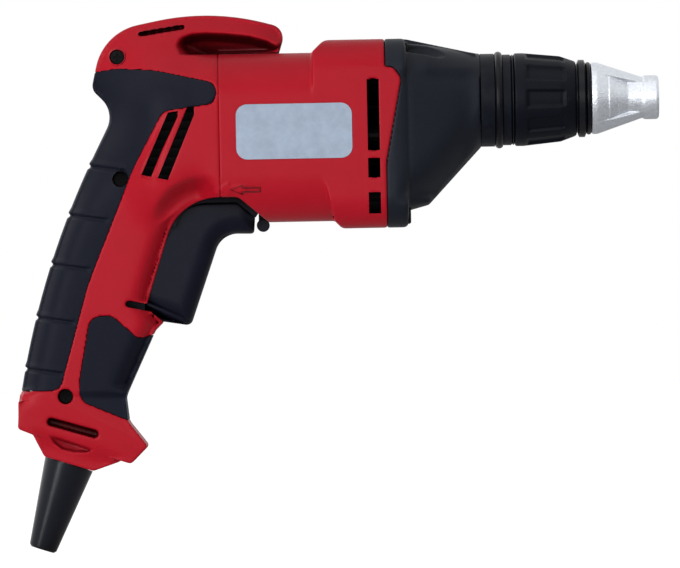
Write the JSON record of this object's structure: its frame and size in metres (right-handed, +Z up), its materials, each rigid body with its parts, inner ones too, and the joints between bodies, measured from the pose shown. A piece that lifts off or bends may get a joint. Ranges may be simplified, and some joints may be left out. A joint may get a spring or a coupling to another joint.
{
  "type": "drywall screwdriver",
  "caption": "Corded pistol-grip drywall screwdriver with motor barrel, paddle trigger, reverse lever, belt hook and adjustable depth nose over a hex bit holder.",
  "frame": {"origin": "centre of the nose tip, on the spindle axis", "axes": "+X forward along the spindle out of the nose, +Y to the tool's left, +Z up"},
  "size_m": [0.2906, 0.0704, 0.2402],
  "materials": {
    "red_plastic": "moulded, fine grain",
    "soft_grip": "soft matt overmould",
    "trigger_plastic": "moulded, fine grain",
    "case_metal": "satin black",
    "plate_metal": "cast",
    "sleeve_plastic": "satin",
    "carrier_metal": "satin black",
    "nose_metal": "turned",
    "ring_rubber": "smooth",
    "guard_rubber": "smooth, slightly glossy",
    "label_metal": "printed silver, bare",
    "steel": "ground",
    "core_iron": "stacked sheets",
    "copper": "varnished copper",
    "brass": "plain",
    "felt": "felt",
    "dark_plastic": "moulded"
  },
  "bodies": {
    "housing": {"bearing_plate": "plate_metal", "brush_bridge": "dark_plastic", "brush_holders": "brass", "brush_springs": "steel", "capacitor": "dark_plastic", "carbon_brushes": "dark_plastic", "collar_o_ring": "ring_rubber", "cord_clamp": "dark_plastic", "cord_clamp_screws": "steel", "cord_guard": "guard_rubber", "depth_collar": "sleeve_plastic", "fan_baffle": "dark_plastic", "field_coils": "copper", "front_bearing_balls": "steel", "front_bearing_outer": "steel", "gear_bush": "brass", "gear_housing": "case_metal", "gear_housing_screws": "steel", "handle_screws": "steel", "handle_shell_left": "red_plastic", "handle_shell_right": "red_plastic", "motor_housing": "red_plastic", "palm_grip_left": "soft_grip", "palm_grip_right": "soft_grip", "rating_plate": "label_metal", "rear_bearing_balls": "steel", "rear_bearing_outer": "steel", "rear_bearing_sleeve": "ring_rubber", "rear_grip_left": "soft_grip", "rear_grip_right": "soft_grip", "sleeve_retaining_ring": "steel", "spindle_bush": "brass", "spindle_seal": "felt", "stator_core": "core_iron", "switch_body": "dark_plastic", "thrust_washer": "steel", "trigger_pin": "steel", "trigger_spring": "steel"},
    "armature": {"armature_shaft": "steel", "armature_core": "core_iron", "armature_winding": "copper", "commutator": "copper", "cooling_fan": "dark_plastic", "front_bearing_inner": "steel", "rear_bearing_inner": "steel"},
    "gear": {"drive_gear": "steel", "clutch_spring": "steel"},
    "spindle": {"spindle": "steel", "bit_holder": "steel", "bit_magnet": "steel", "detent_ball": "steel", "detent_ring": "steel"},
    "depth_sleeve": {"depth_sleeve": "sleeve_plastic"},
    "carrier": {"locator_carrier": "carrier_metal", "carrier_o_ring": "ring_rubber"},
    "nose": {"nose_cone": "nose_metal"},
    "trigger": {"trigger": "trigger_plastic"},
    "plunger": {"switch_plunger": "dark_plastic"},
    "lever": {"reverse_lever": "trigger_plastic"}
  },
  "joints": [
    {"name": "armature_spin", "type": "hinge", "parent": "housing", "child": "armature", "pos_m": [-0.1231, 0, -0.0152], "axis": [1, 0, 0], "continuous": true},
    {"name": "gear_spin", "type": "hinge", "parent": "housing", "child": "gear", "pos_m": [-0.1081, 0, 0], "axis": [1, 0, 0], "continuous": true},
    {"name": "spindle_push", "type": "slide", "parent": "gear", "child": "spindle", "axis": [-1, 0, 0], "range_m": [0, 0.0026], "stiffness_N_per_m": 1500, "springref_m": -0.002, "deforming": ["clutch_spring"]},
    {"name": "depth_turn", "type": "hinge", "parent": "housing", "child": "depth_sleeve", "pos_m": [-0.0651, 0, 0], "axis": [1, 0, 0], "range_deg": [0, 720]},
    {"name": "carrier_slide", "type": "slide", "parent": "housing", "child": "carrier", "axis": [1, 0, 0], "range_m": [0, 0.004]},
    {"name": "nose_pull", "type": "slide", "parent": "carrier", "child": "nose", "axis": [1, 0, 0], "range_m": [0, 0.04]},
    {"name": "trigger_pull", "type": "hinge", "parent": "housing", "child": "trigger", "pos_m": [-0.19204, 0, -0.04743], "axis": [0, 1, 0], "range_deg": [0, 9], "stiffness_Nm_per_rad": 1, "springref_deg": -8.59, "deforming": ["trigger_spring"]},
    {"name": "plunger_press", "type": "slide", "parent": "housing", "child": "plunger", "axis": [-1, 0, 0], "range_m": [0, 0.0045]},
    {"name": "reverse_swing", "type": "hinge", "parent": "housing", "child": "lever", "pos_m": [-0.1681, 0, -0.04945], "axis": [0, 0, 1], "range_deg": [-14, 14]}
  ],
  "couplings": [
    {"joint": "gear_spin", "follows": "armature_spin", "ratio": -0.22581},
    {"joint": "depth_turn", "follows": "carrier_slide", "rad_per_m": 3141.6},
    {"joint": "plunger_press", "follows": "trigger_pull", "m_per_rad": 0.0268}
  ]
}
